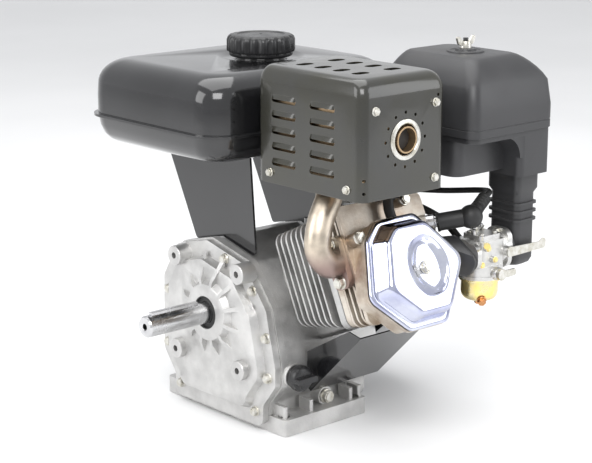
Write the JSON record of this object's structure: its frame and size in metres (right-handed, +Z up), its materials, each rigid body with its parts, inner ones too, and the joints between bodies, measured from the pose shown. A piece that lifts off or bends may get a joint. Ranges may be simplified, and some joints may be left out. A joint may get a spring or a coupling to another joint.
{
  "type": "small gasoline engine",
  "caption": "Air-cooled inclined single-cylinder petrol engine with horizontal keyed output shaft, top fuel tank, boxed muffler, air cleaner and pull starter.",
  "frame": {"origin": "on the mounting plane, midway between the four base holes and under the crankshaft", "axes": "+Z up, output shaft towards -X, pull starter at +X, cylinder head leaning towards -Y"},
  "size_m": [0.4183, 0.4625, 0.4563],
  "materials": {
    "cast_aluminium": "as cast, matte silver",
    "iron": "machined grey iron",
    "steel": "ground steel",
    "bright_chrome": "bright plated pressing",
    "zinc": "zinc plated",
    "pipe_steel": "heat tinted steel",
    "black_paint": "gloss black enamel",
    "black_plastic": "fine textured",
    "rubber": "matte",
    "bowl_brass": "yellow passivated",
    "filter_element": "pleated paper",
    "red_plastic": "moulded"
  },
  "bodies": {
    "engine": {"cylinder_block": "cast_aluminium", "cylinder_liner": "iron", "side_cover": "cast_aluminium", "pto_bearing": "steel", "fan_bearing": "steel", "pto_seal": "rubber", "cylinder_head": "cast_aluminium", "head_gasket": "iron", "valve_cover": "bright_chrome", "valve_cover_gasket": "rubber", "valve_cover_bolt": "zinc", "intake_spring": "steel", "exhaust_spring": "steel", "piston": "cast_aluminium", "wrist_pin": "steel", "exhaust_pipe": "pipe_steel", "muffler": "pipe_steel", "muffler_guard": "black_paint", "fuel_tank": "black_paint", "fuel_hose": "rubber", "carburetor_body": "cast_aluminium", "float_bowl": "bowl_brass", "oil_drain_bolt": "zinc", "insulator_block": "black_plastic", "air_cleaner_base": "black_plastic", "air_filter": "filter_element", "intake_elbow": "black_plastic", "fan_housing": "black_paint", "recoil_housing": "black_paint", "lower_shroud": "black_paint", "ignition_coil": "black_plastic", "spark_plug": "steel", "plug_cap": "rubber", "ignition_lead": "rubber", "breather_hose": "rubber", "control_bracket": "zinc"},
    "crank_train": {"crankshaft": "steel", "shaft_key": "steel", "flywheel": "iron", "cooling_fan": "black_plastic", "starter_cup": "steel"},
    "cam": {"camshaft": "iron"},
    "intake_valve_body": {"intake_valve": "steel"},
    "exhaust_valve_body": {"exhaust_valve": "steel"},
    "intake_rocker_body": {"intake_rocker": "steel"},
    "exhaust_rocker_body": {"exhaust_rocker": "steel"},
    "intake_pushrod_body": {"intake_pushrod": "steel"},
    "exhaust_pushrod_body": {"exhaust_pushrod": "steel"},
    "reel": {"rope_reel": "black_plastic"},
    "grip": {"starter_grip": "black_plastic"},
    "cap": {"tank_cap": "black_plastic"},
    "dipstick": {"oil_dipstick": "black_plastic"},
    "cleaner_lid": {"air_cleaner_cover": "black_plastic"},
    "lid_nut": {"wing_nut": "zinc"},
    "throttle": {"throttle_lever": "zinc"},
    "choke": {"choke_lever": "zinc"},
    "fuel_cock": {"fuel_cock_lever": "zinc"},
    "ignition_switch": {"stop_switch": "red_plastic"},
    "governor": {"governor_arm": "zinc"}
  },
  "joints": [
    {"name": "crank_spin", "type": "hinge", "parent": "engine", "child": "crank_train", "pos_m": [0, 0, 0.133], "axis": [1, 0, 0], "continuous": true},
    {"name": "cam_spin", "type": "hinge", "parent": "engine", "child": "cam", "pos_m": [0, 0.00403, 0.06712], "axis": [1, 0, 0], "continuous": true},
    {"name": "intake_valve_lift", "type": "slide", "parent": "engine", "child": "intake_valve_body", "axis": [0, 0.9063, -0.4226], "range_m": [0, 0.006], "stiffness_N_per_m": 2000, "springref_m": -0.008},
    {"name": "intake_rocker_rock", "type": "hinge", "parent": "engine", "child": "intake_rocker_body", "pos_m": [0.045, -0.23473, 0.21597], "axis": [-1, 0, 0], "range_deg": [0, 14]},
    {"name": "intake_pushrod_slide", "type": "slide", "parent": "engine", "child": "intake_pushrod_body", "axis": [0, -0.9063, 0.4226], "range_m": [0, 0.0078]},
    {"name": "exhaust_valve_lift", "type": "slide", "parent": "engine", "child": "exhaust_valve_body", "axis": [0, 0.9063, -0.4226], "range_m": [0, 0.006], "stiffness_N_per_m": 2000, "springref_m": -0.008},
    {"name": "exhaust_rocker_rock", "type": "hinge", "parent": "engine", "child": "exhaust_rocker_body", "pos_m": [0.007, -0.23473, 0.21597], "axis": [-1, 0, 0], "range_deg": [0, 14]},
    {"name": "exhaust_pushrod_slide", "type": "slide", "parent": "engine", "child": "exhaust_pushrod_body", "axis": [0, -0.9063, 0.4226], "range_m": [0, 0.0078]},
    {"name": "reel_spin", "type": "hinge", "parent": "engine", "child": "reel", "pos_m": [0, 0, 0.133], "axis": [-1, 0, 0], "range_deg": [0, 630]},
    {"name": "starter_pull", "type": "slide", "parent": "engine", "child": "grip", "axis": [0, 0.9659, 0.2588], "range_m": [0, 0.5], "stiffness_N_per_m": 30, "springref_m": -0.4},
    {"name": "tank_cap_lift", "type": "slide", "parent": "engine", "child": "cap", "axis": [0, 0, 1], "range_m": [0, 0.05]},
    {"name": "dipstick_draw", "type": "slide", "parent": "engine", "child": "dipstick", "axis": [0, -1, 0], "range_m": [0, 0.06]},
    {"name": "cleaner_lid_lift", "type": "slide", "parent": "engine", "child": "cleaner_lid", "axis": [0, 0, 1], "range_m": [0, 0.12]},
    {"name": "wing_nut_turn", "type": "hinge", "parent": "cleaner_lid", "child": "lid_nut", "pos_m": [0.162, -0.172, 0.448], "axis": [0, 0, 1], "continuous": true},
    {"name": "throttle_turn", "type": "hinge", "parent": "engine", "child": "throttle", "pos_m": [0.132, -0.026, 0.266], "axis": [1, 0, 0], "range_deg": [-25, 25]},
    {"name": "choke_turn", "type": "hinge", "parent": "engine", "child": "choke", "pos_m": [0.174, -0.24, 0.208], "axis": [0, -1, 0], "range_deg": [0, 60]},
    {"name": "fuel_cock_turn", "type": "hinge", "parent": "engine", "child": "fuel_cock", "pos_m": [0.15, -0.248, 0.186], "axis": [0, -1, 0], "range_deg": [-90, 0]},
    {"name": "switch_turn", "type": "hinge", "parent": "engine", "child": "ignition_switch", "pos_m": [0.135, 0.006, 0.262], "axis": [1, 0, 0], "range_deg": [0, 40]},
    {"name": "governor_swing", "type": "hinge", "parent": "engine", "child": "governor", "pos_m": [0.06, -0.03, 0.222], "axis": [1, 0, 0], "range_deg": [-10, 12], "stiffness_Nm_per_rad": 0.3}
  ],
  "couplings": [
    {"joint": "cam_spin", "follows": "crank_spin", "ratio": -0.5},
    {"joint": "reel_spin", "follows": "starter_pull", "rad_per_m": 21.739},
    {"joint": "intake_rocker_rock", "follows": "intake_valve_lift", "rad_per_m": 38.462},
    {"joint": "intake_pushrod_slide", "follows": "intake_valve_lift", "ratio": 1.27},
    {"joint": "exhaust_rocker_rock", "follows": "exhaust_valve_lift", "rad_per_m": 38.462},
    {"joint": "exhaust_pushrod_slide", "follows": "exhaust_valve_lift", "ratio": 1.27}
  ]
}
